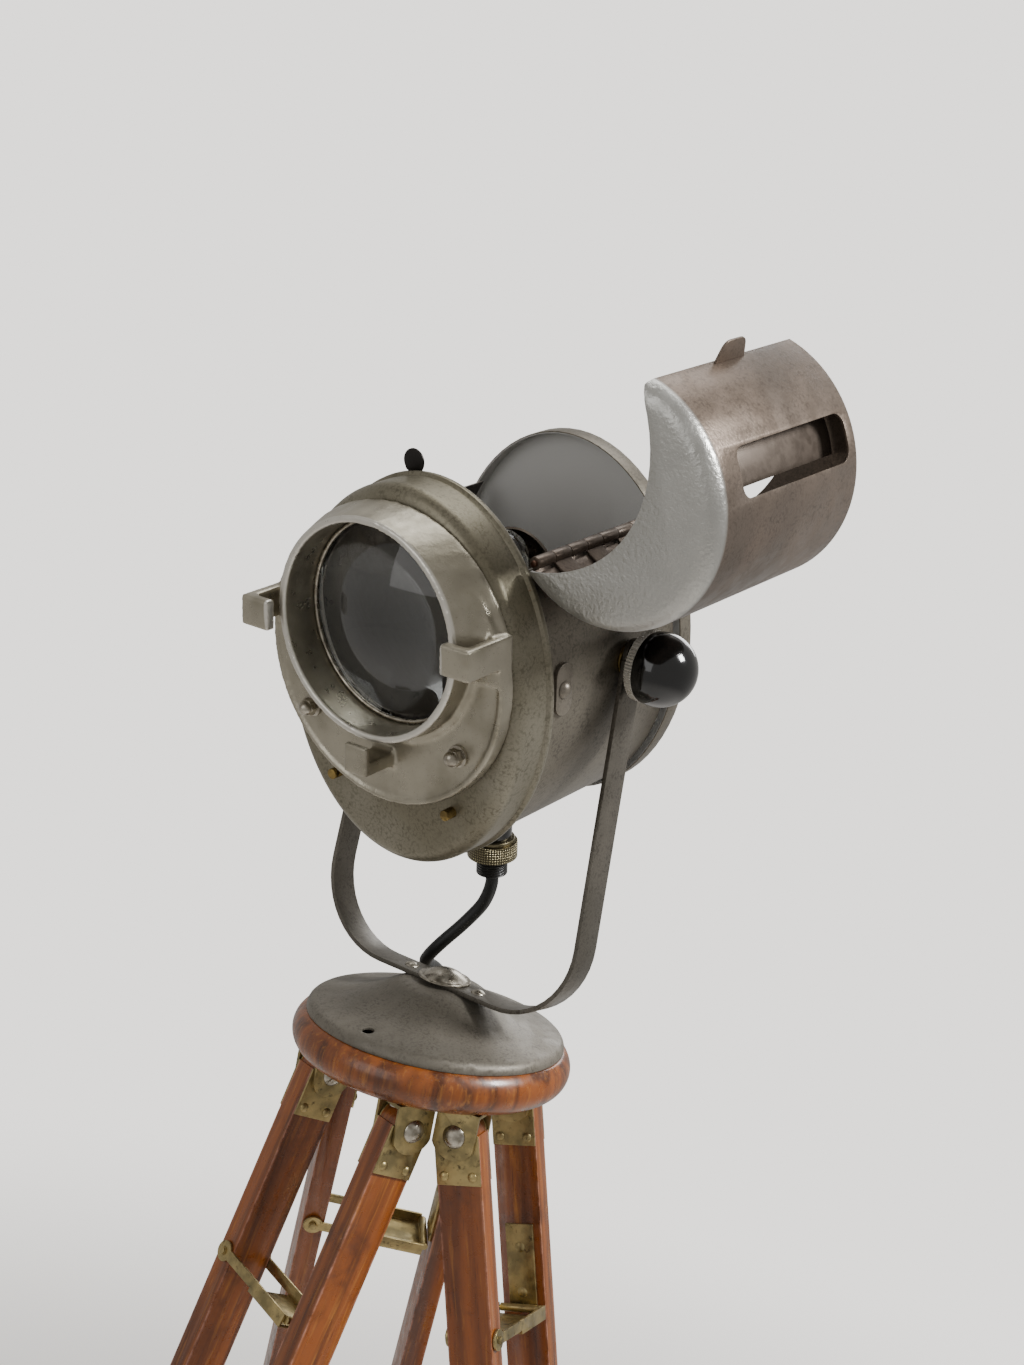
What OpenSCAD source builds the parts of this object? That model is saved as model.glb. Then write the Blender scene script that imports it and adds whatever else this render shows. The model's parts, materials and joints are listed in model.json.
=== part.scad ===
// Theatre spotlight on a wooden tripod, standing on the floor.
// Millimetres, +Z up. The origin is on the floor at the middle of the stance, one leg points along +Y.

/* [Stance] */
// Height of the wooden platform's upper face above the floor
platform_top = 1060; // [980:5:1120]
// Distance from the pan axis to the middle of each foot
foot_reach = 332; // [300:4:360]
// Turn of the lamp about the pan axis at rest
pan = -45; // [-60:5:60]
// Tilt of the lamp at rest, nose down
tilt = 15; // [-10:1:30]
// How far the lid stands open at rest
lid_open = 122; // [0:1:122]

/* [Platform and dome] */
// Radius of the wooden platform at its widest
platform_r = 95; // [90:1:105]
// Thickness of the wooden platform
platform_t = 28; // [24:1:34]
// Radius of the pressed dome cover at its rim
dome_r = 88; // [80:1:90]
// Height of the dome cover
dome_h = 31; // [28:1:36]

/* [Yoke] */
// Height of the tilt axis above the platform's upper face
pivot_h = 278; // [268:1:290]
// Width of the yoke's strap
strap_w = 21; // [18:1:24]
// Thickness of the yoke's strap
strap_t = 3; // [2.5:0.5:4]
// Radius of the ball knobs
knob_r = 24; // [20:1:26]

/* [Lamp house] */
// Half width of the oval barrel
barrel_a = 92; // [90:0.5:92]
// Half height of the oval barrel
barrel_b = 121; // [118:1:121]
// Thickness of the sheet metal
sheet_t = 1.5; // [1:0.5:2]
// Distance from the tilt axis forward to the barrel's front edge
barrel_front = 87; // [86:1:88]
// Distance from the tilt axis back to the barrel's rear edge
barrel_back = 50; // [46:1:50]
// Outer radius of the lens holder's lip
lip_r = 71; // [70:1:73]
// Height of the lens axis above the tilt axis
lens_up = 35; // [33:1:37]
// Radius of the lens
lens_r = 64; // [60:1:64]

/* [Lid] */
// Radius of the round lid
lid_r = 79; // [77:1:80]
// Height of the lid's centre above the tilt axis, when shut
lid_up = 97; // [95:1:99]

/* [Legs] */
// Distance between the two rails of a leg, middle to middle
rail_gap = 96; // [92:1:100]
// Thickness of a rail
rail_t = 16; // [14:0.5:16]
// Width of a rail
rail_w = 31; // [28:1:32]
// Length of the rails below their hinge
rail_len = 640; // [560:10:700]

/* [Lead] */
// Diameter of the rubber lead
lead_d = 9; // [8:0.5:9]
// Layers of lead in the coil
coil_layers = 3; // [2:1:4]

/* [Hidden] */

$fn = 48;
gap = 0.3;              // air between pieces that move past each other
fit = 0.05;             // radial clearance of a pin in its bore
enamel = [0.53, 0.50, 0.46];
silver = [0.69, 0.67, 0.62];
brass = [0.66, 0.57, 0.36];
steel = [0.62, 0.61, 0.58];
wood = [0.66, 0.30, 0.17];
black = [0.06, 0.06, 0.06];

// ---- places: each leg, the yoke, the lamp and the lid have a frame of their own
axis_y = 21 - foot_reach / 4;   // puts the middle of the whole box, open lid included, at the origin
hinge_r = 50;           // leg hinge, out from the pan axis
hinge_drop = 46;        // leg hinge, below the platform's upper face
hinge_z = platform_top - hinge_drop;
splay = atan((foot_reach - hinge_r) / hinge_z);
leg_len = hinge_z / cos(splay);
leg_turn = [210, 330, 90];

module pan_at() { translate([0, axis_y, platform_top]) children(); }
module yoke_at() { pan_at() rotate([0, 0, pan]) children(); }
module lamp_at() { yoke_at() translate([0, 0, pivot_h]) rotate([tilt, 0, 0]) children(); }
module lid_at() {
  lamp_at() translate([hinge_x, 0, hinge_up]) rotate([0, lid_open, 0]) translate([-hinge_x, 0, -hinge_up])
    children();
}
module leg_at(i) {
  pan_at() rotate([0, 0, leg_turn[i]]) translate([hinge_r, 0, -hinge_drop]) rotate([0, -splay, 0]) children();
}
// a section drawn as (right, up) and pulled forward from f
module forward(f) { translate([0, -f, 0]) rotate([90, 0, 0]) children(); }
// a shaft along the tilt axis from x
module sideways(x) { translate([x, 0, 0]) rotate([0, 90, 0]) children(); }
module both_sides() {
  children();
  mirror([1, 0, 0]) children();
}

// ---- the lamp house's oval section
section_up = -5;        // middle of the oval, from the tilt axis
cap_a = 96.5;
cap_b = 124.5;
cap_back = 82;
cap_front = 116;
shoulder = 10;
cap_t = 3;
rear_front = -52;
rear_back = -64;
oval_n = 72;
function oval(a, b) = [for (i = [0:oval_n - 1]) [a * cos(360 * i / oval_n), section_up + b * sin(360 * i / oval_n)]];
module oval_bar(a, b, f0, f1) { forward(f0) linear_extrude(f1 - f0) polygon(oval(a, b)); }
module oval_shell(a, b, t, f0, f1) {
  difference() {
    oval_bar(a, b, f0, f1);
    oval_bar(a - t, b - t, f0 - 1, f1 + 1);
  }
}

// ---- lamp house hinge
hinge_x = 74;
hinge_up = 78;
hinge_front = 76;
knuckle_r = 4;
knuckle_l = 16;
knuckle_n = 7;
open_up = 73;           // height of the barrel's open edges

// ---- lens holder
flange_r = 93;
flange_up = 11;
flange_f = cap_front + 0.2;
flange_t = 12;
lip_f = 146;
bore_r = 66;
lug_half = 10;
lug_right = 38;         // heights of the two side lugs
lug_left = 30;

// ---- focusing carriage
focus_f = 15.6;
rod_x = 47;
rod_up = -80;
rod_r = 3.5;
stem_r = 8;
exit_up = -174;         // the lead leaves the lamp here
mirror_r = 36;
slot_ahead = 36;
slot_behind = 31;

// ---------------------------------------------------------------- platform (root)
lead_r = lead_d / 2;
module platform() color(wood) pan_at() difference() {
  rotate_extrude($fn = 96) intersection() {
    translate([0, -platform_t]) square([platform_r + 1, platform_t]);
    union() {
      translate([platform_r - 16, -13]) circle(r = 16);
      translate([0, -platform_t]) square([platform_r - 15, platform_t]);
    }
  }
  translate([0, 0, -platform_t - 1]) cylinder(r = 6 + fit, h = platform_t + 2);
}

bracket_t = 2.5;
plate_t = 1.5;
jaw = rail_t + 2 * plate_t + 2 * 0.4;   // inner width of a bracket's jaw
module bracket() {
  under = hinge_drop - platform_t;
  for (side = [-1, 1]) translate([0, side * (jaw + bracket_t) / 2, 0]) rotate([90, 0, 0]) difference() {
    translate([0, 0, -bracket_t / 2]) linear_extrude(bracket_t) union() {
      translate([-14.5, 0]) square([29, under]);
      intersection() {
        circle(r = 16);
        translate([-14.5, -20]) square([29, 20.01]);
      }
    }
    translate([0, 0, -bracket_t]) cylinder(r = 4 + fit, h = 2 * bracket_t);
  }
  difference() {
    translate([-14.5, -jaw / 2 - bracket_t, under - bracket_t]) cube([29, jaw + 2 * bracket_t, bracket_t - 0.01]);
    for (x = [-9, 9]) translate([x, 0, 0]) cylinder(r = 2.1, h = 2 * under);
  }
}
module at_rails() { for (side = [-1, 1]) translate([0, side * rail_gap / 2, 0]) children(); }
module at_hinges() {
  for (i = [0:2]) pan_at() rotate([0, 0, leg_turn[i]]) translate([hinge_r, 0, -hinge_drop]) at_rails() children();
}
module head_brackets() color(brass) at_hinges() bracket();
module hinge_pins() color(steel) at_hinges() rotate([90, 0, 0]) {
  translate([0, 0, -jaw / 2 - bracket_t]) cylinder(r = 4, h = jaw + 2 * bracket_t);
  for (turn = [0, 180]) rotate([turn, 0, 0]) translate([0, 0, jaw / 2 + bracket_t]) domed_head(8, 4.5);
}
module bracket_screws() color(steel) at_hinges() for (x = [-9, 9]) translate([x, 0, hinge_drop - platform_t]) {
  translate([0, 0, -bracket_t - 2]) cylinder(r = 4, h = 2);
  translate([0, 0, -bracket_t - 1]) cylinder(r = 2, h = bracket_t + 1);
}
module wing_washer() color(steel) pan_at() translate([0, 0, -platform_t - 2.2]) difference() {
  cylinder(r = 20, h = 2);
  translate([0, 0, -1]) cylinder(r = 6.2, h = 4);
}
module wing_nut() color(steel) pan_at() translate([0, 0, -platform_t - 14.4]) difference() {
  union() {
    cylinder(r = 11, h = 12);
    both_sides() translate([9, -2.5, -8]) rotate([0, -20, 0]) cube([22, 5, 14]);
  }
  translate([0, 0, -12]) cylinder(r = 6 + fit, h = 30);
}

// ---------------------------------------------------------------- yoke and dome
// the flared side of the dome, from its flat top out to its rolled rim
dome_side = [[22, 0], [28, 1.2], [34, 4.6], [43, 10], [53, 14.6], [63, 18], [73, 20.6]];
dome_outer = concat([[0, dome_h]], [for (p = dome_side) [p[0], dome_h - p[1]]],
  [for (a = [75:-15:0]) [dome_r - 7 + 7 * cos(a), 1.5 + 7 * sin(a)]], [[dome_r, 0.2]]);
dome_inner = concat([[dome_r - 1.5, 0.2]],
  [for (a = [0:15:75]) [dome_r - 7 + 5.5 * cos(a), 1.5 + 5.5 * sin(a)]],
  [for (i = [len(dome_side) - 1:-1:0]) [dome_side[i][0] - 0.7, dome_h - 1.6 - dome_side[i][1]]], [[0, dome_h - 1.6]]);
module dome_cover() color(enamel) yoke_at() difference() {
  rotate_extrude($fn = 96) polygon(concat(dome_outer, dome_inner));
  translate([0, 0, 10]) cylinder(r = 6 + fit, h = 30);
  for (x = [-29, 29]) translate([x, 0, 5]) cylinder(r = 2.6, h = 30);
  translate([3, -76, 0]) cylinder(r = 4, h = 40);
}

arm_in = 94.5;          // inner face of the arms at the tilt axis
bend_r = 56;
bend_up = dome_h + bend_r;
lean = atan(8.5 / (pivot_h - bend_up));
bend_x = arm_in + strap_t - bend_r * cos(lean) + tan(lean) * (pivot_h - bend_up - bend_r * sin(lean));
function strap_side(r) = concat([[0, bend_up - r]],
  [for (a = [-90:7.5:0]) [bend_x + r * cos(a + lean * (1 + a / 90)), bend_up + r * sin(a + lean * (1 + a / 90))]]);
function strap_end(r) = [bend_x + r * cos(lean) - tan(lean) * (pivot_h - bend_up - r * sin(lean)), pivot_h];
function flip(p) = [for (i = [len(p) - 1:-1:0]) p[i]];
module yoke_strap() color(enamel) yoke_at() difference() {
  union() {
    both_sides() translate([0, strap_w / 2, 0]) rotate([90, 0, 0]) linear_extrude(strap_w)
      polygon(concat(strap_side(bend_r), [strap_end(bend_r), strap_end(bend_r - strap_t)],
        flip(strap_side(bend_r - strap_t))));
    both_sides() translate([0, 0, pivot_h]) rotate([0, -lean, 0]) sideways(arm_in)
      cylinder(r = strap_w / 2, h = strap_t);
  }
  translate([0, 0, pivot_h]) sideways(-120) cylinder(r = 4 + fit, h = 240);
  translate([0, 0, dome_h - 1]) cylinder(r = 6 + fit, h = 6);
  for (x = [-29, 29]) translate([x, 0, dome_h - 1]) cylinder(r = 2.6, h = 6);
}
module domed_head(r, h) {
  ball = (r * r + h * h) / (2 * h);
  intersection() {
    translate([0, 0, h - ball]) sphere(r = ball);
    cylinder(r = r, h = h);
  }
}
module centre_bolt() color(steel) yoke_at() {
  translate([0, 0, dome_h + strap_t + 0.1]) cylinder(r = 18, h = 1.5);
  translate([0, 0, dome_h + strap_t + 1.6]) domed_head(15.5, 6);
  translate([0, 0, -platform_t - 22]) cylinder(r = 6, h = platform_t + dome_h + strap_t + 23);
}
module yoke_screws() color(steel) yoke_at() for (x = [-29, 29]) translate([x, 0, 0]) {
  translate([0, 0, dome_h + strap_t + 0.05]) domed_head(5, 2.2);
  translate([0, 0, 16]) cylinder(r = 2.4, h = dome_h + strap_t - 15);
}

// ---------------------------------------------------------------- lamp house
module housing() color(enamel) lamp_at() difference() {
  oval_shell(barrel_a, barrel_b, sheet_t, -barrel_back, barrel_front);
  translate([-100, -80, open_up]) cube([200, 140, 100]);
  translate([-stem_r - 0.5, -focus_f - slot_ahead - stem_r, -150])
    cube([2 * stem_r + 1, slot_ahead + slot_behind + 2 * stem_r, 60]);
  sideways(-120) cylinder(r = 4.3, h = 240);
}
module cap_form(d) {
  hull() {
    oval_bar(cap_a - d, cap_b - d, cap_back, cap_back + 1);
    for (a = [0:30:90]) oval_bar(cap_a - d - shoulder * (1 - cos(a)), cap_b - d - shoulder * (1 - cos(a)),
      cap_front - d - shoulder * (1 - sin(a)) - 0.5, cap_front - d - shoulder * (1 - sin(a)));
  }
}
module front_cap() color(enamel) lamp_at() difference() {
  cap_form(0);
  difference() {
    cap_form(cap_t);
    translate([-150, -500, -200]) cube([300, 500 - cap_front + cap_t, 400]);
  }
  oval_bar(cap_a - cap_t, cap_b - cap_t, cap_back - 1, cap_back + cap_t);
  forward(100) translate([0, lens_up, 0]) cylinder(r = bore_r, h = 20);
  both_sides() forward(100) translate([rod_x, rod_up, 0]) cylinder(r = rod_r + fit, h = 20);
}
module rear_cap() color(enamel) lamp_at() difference() {
  oval_bar(cap_a, cap_b, rear_back, rear_front);
  oval_bar(cap_a - sheet_t, cap_b - sheet_t, rear_back + sheet_t, rear_front + 1);
  both_sides() forward(-70) translate([rod_x, rod_up, 0]) cylinder(r = rod_r + fit, h = 20);
}
module lug_side(up) {
  forward(flange_f) translate([77, up - lug_half, 0]) cube([14.5, 2 * lug_half, 14]);
  forward(flange_f) translate([84, up - lug_half, 0]) cube([7.5, 2 * lug_half, 42]);
  forward(lip_f + 5) translate([69, up - lug_half, 0]) cube([22.5, 2 * lug_half, 7.2]);
}
module lens_carrier() color(silver) lamp_at() difference() {
  union() {
    forward(flange_f) translate([0, flange_up, 0]) cylinder(r = flange_r, h = flange_t, $fn = 96);
    forward(flange_f) translate([0, lens_up, 0]) cylinder(r = lip_r, h = lip_f - flange_f, $fn = 96);
    intersection() {
      hull() {
        forward(flange_f) translate([0, flange_up + 6, 0]) cylinder(r = flange_r, h = 2);
        forward(lip_f - 3) translate([0, lens_up, 0]) cylinder(r = lip_r - 0.4, h = 3);
      }
      translate([-120, -160, 30]) cube([240, 60, 120]);
    }
    lug_side(lug_right);
    mirror([1, 0, 0]) lug_side(lug_left);
    forward(flange_f + 8) translate([-9, -57, 0]) cube([18, 9, 30]);
    forward(lip_f + 3) translate([-9, -57, 0]) cube([18, 20, 5]);
  }
  forward(flange_f - 1) translate([0, lens_up, 0]) cylinder(r = bore_r, h = lip_f, $fn = 96);
  forward(flange_f + flange_t - 2) difference() {
    translate([0, flange_up, 0]) cylinder(r = flange_r - 3.5, h = 3, $fn = 96);
    translate([0, lens_up, -1]) cylinder(r = lip_r + 4, h = 5, $fn = 96);
    translate([-100, 16, -1]) cube([200, 100, 5]);
    translate([-9, -58, -1]) cube([18, 12, 5]);
  }
}
lens_f = 112;
lens_edge = 5;
lens_bulge = 22;
module lens() color([0.8, 0.85, 0.85, 0.4]) lamp_at() forward(lens_f) translate([0, lens_up, 0]) intersection() {
  ball = (lens_r * lens_r + lens_bulge * lens_bulge) / (2 * lens_bulge);
  cylinder(r = lens_r, h = lens_edge + lens_bulge, $fn = 96);
  translate([0, 0, lens_edge + lens_bulge - ball]) sphere(r = ball, $fn = 96);
}
module lens_ring() color(steel) lamp_at() forward(lens_f + 7.2) translate([0, lens_up, 0])
  rotate_extrude($fn = 96) translate([bore_r - 1.6, 0]) circle(r = 1.4, $fn = 16);
module dome_nuts() color(steel) lamp_at() both_sides() forward(flange_f + flange_t - 1.9) translate([60, -35, 0]) {
  cylinder(r = 7, h = 2);
  cylinder(r = 5.8, h = 7, $fn = 6);
  translate([0, 0, 7]) sphere(r = 4.9);
}
module guide_rods() color(brass) lamp_at() both_sides() forward(-70) translate([rod_x, rod_up, 0])
  cylinder(r = rod_r, h = 194);
module side_plates() color(enamel) lamp_at() both_sides() {
  difference() {
    sideways(barrel_a - 4) translate([0, -68, 0]) linear_extrude(6) hull() {
      translate([-9, 0]) circle(r = 8);
      translate([9, 0]) circle(r = 8);
    }
    oval_bar(barrel_a + 0.05, barrel_b + 0.05, 40, 80);
  }
  translate([barrel_a + 2, -68, 0]) sideways(0.02) domed_head(6, 4);
}
module trunnion_bolts() color(steel) lamp_at() both_sides() {
  sideways(82) cylinder(r = 9, h = 6, $fn = 6);
  sideways(87) cylinder(r = 4, h = 34);
}
module pivot_washers() color(brass) lamp_at() both_sides() {
  difference() {
    sideways(88) cylinder(r = 11, h = 5.5);
    oval_bar(barrel_a + 0.05, barrel_b + 0.05, -20, 20);
    sideways(80) cylinder(r = 4.3, h = 20);
  }
  difference() {
    sideways(98.5) cylinder(r = 11, h = 2.4);
    sideways(98) cylinder(r = 4.3, h = 4);
  }
}
module knuckles(first) {
  for (i = [first:2:knuckle_n - 1]) forward(hinge_front - (i + 1) * knuckle_l + 0.2)
    translate([hinge_x, hinge_up, 0]) difference() {
      cylinder(r = knuckle_r, h = knuckle_l - 0.4);
      translate([0, 0, -1]) cylinder(r = 2 + fit, h = knuckle_l + 2);
    }
}
module hinge_leaf() color(steel) lamp_at() {
  knuckles(0);
  difference() {
    for (i = [0:2:knuckle_n - 1]) forward(hinge_front - (i + 1) * knuckle_l + 0.2)
      translate([hinge_x, hinge_up, 0]) rotate(-58) translate([2.5, -3.6, 0]) cube([19, 1.8, knuckle_l - 0.4]);
    oval_bar(barrel_a + 0.05, barrel_b + 0.05, -60, 90);
  }
}
module hinge_pin() color(steel) lamp_at() forward(hinge_front - knuckle_n * knuckle_l - 1)
  translate([hinge_x, hinge_up, 0]) cylinder(r = 2, h = knuckle_n * knuckle_l + 3);
module lid_catch() color(black) lamp_at() forward(cap_back - 1.8) linear_extrude(1.4) hull() {
  translate([-24, 118]) square([12, 3]);
  translate([-18, 124]) circle(r = 8);
}

// ---------------------------------------------------------------- focusing carriage
module along_focus() { lamp_at() translate([0, -focus_f, 0]) children(); }
module carriage() color(steel) along_focus() difference() {
  union() {
    translate([-56, -25, -90]) cube([112, 50, 3]);
    both_sides() translate([rod_x, 25, rod_up]) rotate([90, 0, 0]) cylinder(r = 7.2, h = 50);
    translate([0, 0, exit_up]) cylinder(r = stem_r, h = -87 - exit_up);
    translate([-8, 24, -90]) cube([16, mirror_r - 21.8, 3]);
    translate([-6, mirror_r + 0.2, -90]) cube([12, 2, lens_up + 84]);
  }
  both_sides() translate([rod_x, 30, rod_up]) rotate([90, 0, 0]) cylinder(r = rod_r + fit, h = 60);
  translate([0, 0, exit_up - 1]) cylinder(r = lead_r + 0.4, h = 100);
}
module collar(r, top, h) {
  along_focus() translate([0, 0, top - h]) difference() {
    cylinder(r = r, h = h);
    translate([0, 0, -1]) cylinder(r = stem_r + 0.1, h = h + 2);
  }
}
module clamp_block() color(black) collar(13, -127.5, 18.5);
module clamp_nut() color(brass) {
  collar(15, -146.2, 2.6);
  collar(17, -149, 11.5);
}
module gland_sleeve() color(black) collar(10.6, -160.8, 12.6);
module lamp_socket() color([0.85, 0.83, 0.78]) along_focus() translate([0, 0, -86.8]) cylinder(r = 19, h = 40);
module bulb() color([0.9, 0.9, 0.85, 0.4]) along_focus() {
  translate([0, 0, -46.6]) cylinder(r = 12, h = 30);
  translate([0, 0, -17]) cylinder(r = 18, h = 68);
  translate([0, 0, 51]) sphere(r = 18);
}
module reflector() color(silver) along_focus() forward(0) translate([0, lens_up, 0])
  rotate_extrude() polygon(concat([for (a = [0:6:60]) mirror_r * [sin(a), -cos(a)]],
    [for (a = [60:-6:0]) (mirror_r - 1.5) * [sin(a), -cos(a)]]));

// ---------------------------------------------------------------- lid, drawn shut
lid_front = 90;
lid_back = -62;
lid_edge = 79;          // height of the free edge
module lid_form(d) {
  r = lid_r - d;
  f = lid_front - d;
  forward(0) translate([0, lid_up, 0]) rotate_extrude($fn = 96)
    polygon(concat([[0, lid_back + d], [r, lid_back + d]],
      [for (a = [0:15:90]) [r - 12 + 12 * cos(a), f - 12 + 12 * sin(a)]], [[0, f]]));
}
module lid_window() {
  forward(0) translate([0, lid_up, 0]) rotate(141) translate([lid_r - 12, 0, 0]) rotate([0, 90, 0])
    linear_extrude(24) hull() for (f = [-46, 52]) for (w = [-7, 7]) translate([-f, w]) circle(r = 8, $fn = 32);
}
module lid_shell() color(enamel) lid_at() difference() {
  lid_form(0);
  lid_form(1.4);
  oval_bar(cap_a + 2.5, cap_b + 2.5, -80, 100);
  translate([-100, -100, lid_edge - 100]) cube([200, 200, 100]);
  translate([66, -100, lid_edge - 20]) cube([40, 200, 24.5]);
  lid_window();
}
module lid_baffle() color(silver) lid_at() difference() {
  forward(lid_back + 3) linear_extrude(136) translate([0, lid_up]) intersection() {
    difference() {
      circle(r = 64, $fn = 96);
      circle(r = 62.8, $fn = 96);
    }
    rotate(132) square([80, 40]);
  }
}
module lid_leaf() color(steel) lid_at() {
  difference() {
    union() {
      knuckles(1);
      for (i = [1:2:knuckle_n - 1]) forward(hinge_front - (i + 1) * knuckle_l + 0.2)
        translate([74.6, hinge_up + 2.6, 0]) cube([1.5, 17, knuckle_l - 0.4]);
    }
    forward(-60) translate([hinge_x, hinge_up, 0]) cylinder(r = 2 + fit, h = 150);
  }
}
module lid_tab() color(enamel) lid_at() forward(-4) translate([-77.4, lid_edge + 3, 0]) rotate(14) rotate([90, 0, 0])
  linear_extrude(1.5) hull() {
    translate([-1, -4]) square([1, 30]);
    translate([-7, 6]) circle(r = 7);
    translate([-7, 17]) circle(r = 7);
  }

// ---------------------------------------------------------------- knobs
knob_x = 117;
module knob() {
  difference() {
    union() {
      sideways(101.2) cylinder(r = 10, h = 8);
      sideways(106) cylinder(r = knob_r - 1, h = 5.5);
      intersection() {
        translate([knob_x, 0, 0]) sphere(r = knob_r, $fn = 64);
        sideways(111) cylinder(r = 40, h = 40);
      }
    }
    sideways(100) cylinder(r = 4 + fit, h = 23);
  }
}
module knob_right() color(black) lamp_at() knob();
module knob_left() color(black) lamp_at() mirror([1, 0, 0]) knob();

// ---------------------------------------------------------------- legs
stay_up = -137;
module rails(i) color(wood) leg_at(i) handed(i) difference() {
  at_rails() difference() {
    union() {
      translate([-rail_w / 2, -rail_t / 2, -rail_len]) cube([rail_w, rail_t, rail_len]);
      rotate([90, 0, 0]) translate([0, 0, -rail_t / 2]) cylinder(r = 14, h = rail_t);
    }
    rotate([90, 0, 0]) translate([0, 0, -20]) cylinder(r = 4 + fit, h = 40);
  }
  translate([-20, -rail_gap / 2, stay_up]) rotate([0, 90, 0]) cylinder(r = 2.5 + fit, h = 40);
}
module plates(i) color(brass) leg_at(i) at_rails() for (side = [-1, 1]) {
  translate([0, side * (rail_t + plate_t) / 2, 0]) rotate([90, 0, 0]) difference() {
    translate([0, 0, -plate_t / 2 + 0.02]) linear_extrude(plate_t - 0.04) union() {
      translate([-rail_w / 2, -33]) square([rail_w, 33]);
      circle(r = 14);
    }
    translate([0, 0, -3]) cylinder(r = 4 + fit, h = 6);
  }
  for (x = [-10, 10]) translate([x, side * (rail_t / 2 + plate_t), -27]) rotate([-90 * side, 0, 0])
    domed_head(3.4, 1.8);
}
// the back leg's stay is the other way round
module handed(i) {
  if (i == 2) mirror([0, 1, 0]) children();
  else children();
}
// spreader stay: pinned through one rail, hinged to a plate on the other
module stay(i) color(brass) leg_at(i) handed(i) {
  inner = rail_gap / 2 - rail_t / 2;
  end_y = inner - 6;
  drop = 9;
  slope = atan(drop / (end_y + rail_gap / 2));
  reach = (end_y + rail_gap / 2) / cos(slope);
  translate([0, -rail_gap / 2, stay_up]) rotate([-slope, 0, 0]) {
    for (side = [-1, 1]) translate([side * (rail_w / 2 + 1.4), 0, 0]) rotate([0, 90, 0]) difference() {
      translate([0, 0, -1]) linear_extrude(2) union() {
        circle(r = 7);
        translate([-3.5, 0]) square([7, reach]);
        translate([-2, 40]) square([8, reach - 40]);
      }
      translate([0, 0, -3]) cylinder(r = 2.5 + fit, h = 6);
    }
    translate([-rail_w / 2 - 0.6, 40, -6]) cube([rail_w + 1.2, reach - 40, 2]);
  }
  translate([-20, -rail_gap / 2, stay_up]) rotate([0, 90, 0]) cylinder(r = 2.5, h = 40);
  translate([-10, inner - 2.1, stay_up - 8]) cube([20, 2, 57]);
  translate([-rail_w / 2, end_y + 0.9, stay_up - drop]) rotate([0, 90, 0]) cylinder(r = 2.8, h = rail_w);
  for (z = [stay_up + 1, stay_up + 33]) translate([0, inner - 2.1, z]) rotate([90, 0, 0]) domed_head(3.6, 1.6);
}
slider_w = 44;
slider_t = 20;
head_top = -330;
shoe_top = 72;          // shoe's upper end, from the foot's end
function foot_z() = -leg_len;
module slider(i) color(wood) leg_at(i) {
  inner = rail_gap / 2 - rail_t / 2;
  translate([-slider_t / 2, -inner + gap, head_top - 50]) cube([slider_t, 2 * (inner - gap), 50]);
  translate([-slider_t / 2, -slider_w / 2, foot_z() + shoe_top])
    cube([slider_t, slider_w, leg_len - shoe_top + head_top - 40]);
}
module shoe(i) color(steel) {
  leg_at(i) difference() {
    translate([-slider_t / 2 - 2.5, -slider_w / 2 - 2.5, foot_z() + 34])
      cube([slider_t + 5, slider_w + 5, 68]);
    translate([-slider_t / 2 - 0.05, -slider_w / 2 - 0.05, foot_z() + shoe_top - 0.05])
      cube([slider_t + 0.1, slider_w + 0.1, 40]);
  }
  leg_at(i) translate([0, 0, foot_z() + 12]) cylinder(r1 = 8, r2 = 12, h = 23, $fn = 32);
  pan_at() rotate([0, 0, leg_turn[i]]) translate([foot_reach, 0, -platform_top]) cylinder(r = 14, h = 18);
}
module clamp(i) color(brass) leg_at(i) {
  low = -rail_len + 12;
  wide = rail_gap + rail_t;
  difference() {
    translate([-rail_w / 2 - 3, -wide / 2 - 3, low]) cube([rail_w + 6, wide + 6, 34]);
    at_rails() translate([-rail_w / 2 - 0.05, -rail_t / 2 - 0.05, low - 1]) cube([rail_w + 0.1, rail_t + 0.1, 40]);
    translate([-slider_t / 2 - gap, -slider_w / 2 - gap, low - 1]) cube([slider_t + 2 * gap, slider_w + 2 * gap, 40]);
    translate([0, 0, low + 17]) rotate([0, 90, 0]) cylinder(r = 3 + fit, h = 40);
  }
  translate([0, 0, low + 17]) rotate([0, 90, 0]) {
    translate([0, 0, slider_t / 2 + gap + 0.2]) cylinder(r = 3, h = 20);
    translate([0, 0, rail_w / 2 + 8]) cylinder(r = 11, h = 7);
  }
}
module leg_1_rails() { rails(0); }
module leg_2_rails() { rails(1); }
module leg_3_rails() { rails(2); }
module leg_1_plates() { plates(0); }
module leg_2_plates() { plates(1); }
module leg_3_plates() { plates(2); }
module leg_1_stay() { stay(0); }
module leg_2_stay() { stay(1); }
module leg_3_stay() { stay(2); }
module leg_1_slider() { slider(0); }
module leg_2_slider() { slider(1); }
module leg_3_slider() { slider(2); }
module leg_1_shoe() { shoe(0); }
module leg_2_shoe() { shoe(1); }
module leg_3_shoe() { shoe(2); }
module leg_1_clamp() { clamp(0); }
module leg_2_clamp() { clamp(1); }
module leg_3_clamp() { clamp(2); }

// ---------------------------------------------------------------- the lead, on its route
// points in the yoke's frame, from the gland to behind the platform's edge
route_top = [[0, 30.4, 105.9], [0, 32.2, 99.5], [-2, 34, 91], [-6, 35, 81], [-12, 34, 71], [-19, 32, 60.5],
  [-25.8, 30.1, 51.3]];
route_middle = [[-26.3, 29.9, 50.6], [-30.5, 29, 44.8], [-34.8, 28.9, 39], [-39, 30.2, 33.6], [-43, 33.5, 29],
  [-46.8, 39, 25.5], [-50.3, 46.2, 22], [-53.8, 54.5, 18.8], [-57.5, 63.5, 15.5], [-61.5, 73, 11], [-66.5, 85, 5],
  [-71.5, 97, -2]];
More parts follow.
